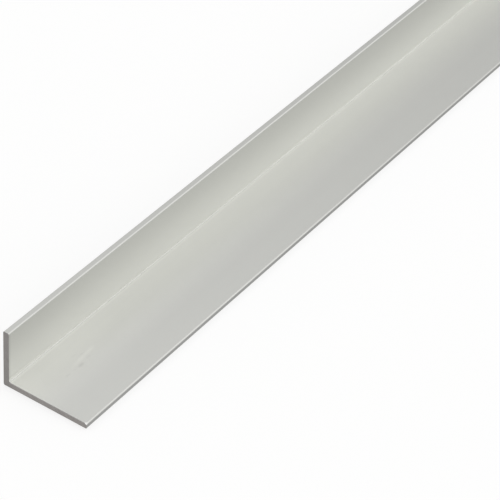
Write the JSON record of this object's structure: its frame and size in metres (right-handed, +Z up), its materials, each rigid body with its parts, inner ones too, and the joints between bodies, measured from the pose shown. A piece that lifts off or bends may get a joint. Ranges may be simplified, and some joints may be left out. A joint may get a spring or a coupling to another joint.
{
  "type": "unequal-leg angle section",
  "caption": "Straight L-shaped metal angle with one wide and one narrow leg, sawn square to length, for covering edges, framing and bracing.",
  "frame": {"origin": "middle of the rectangle that the angle covers on the floor, level with its underside", "axes": "+X across the wide leg from the heel to its toe, +Y along the stock, away from the sawn end that is seen, +Z up along the narrow leg"},
  "size_m": [0.03, 1, 0.02],
  "materials": {
    "anodised_aluminium": "satin"
  },
  "bodies": {
    "root": {"angle_section": "anodised_aluminium"}
  },
  "joints": []
}
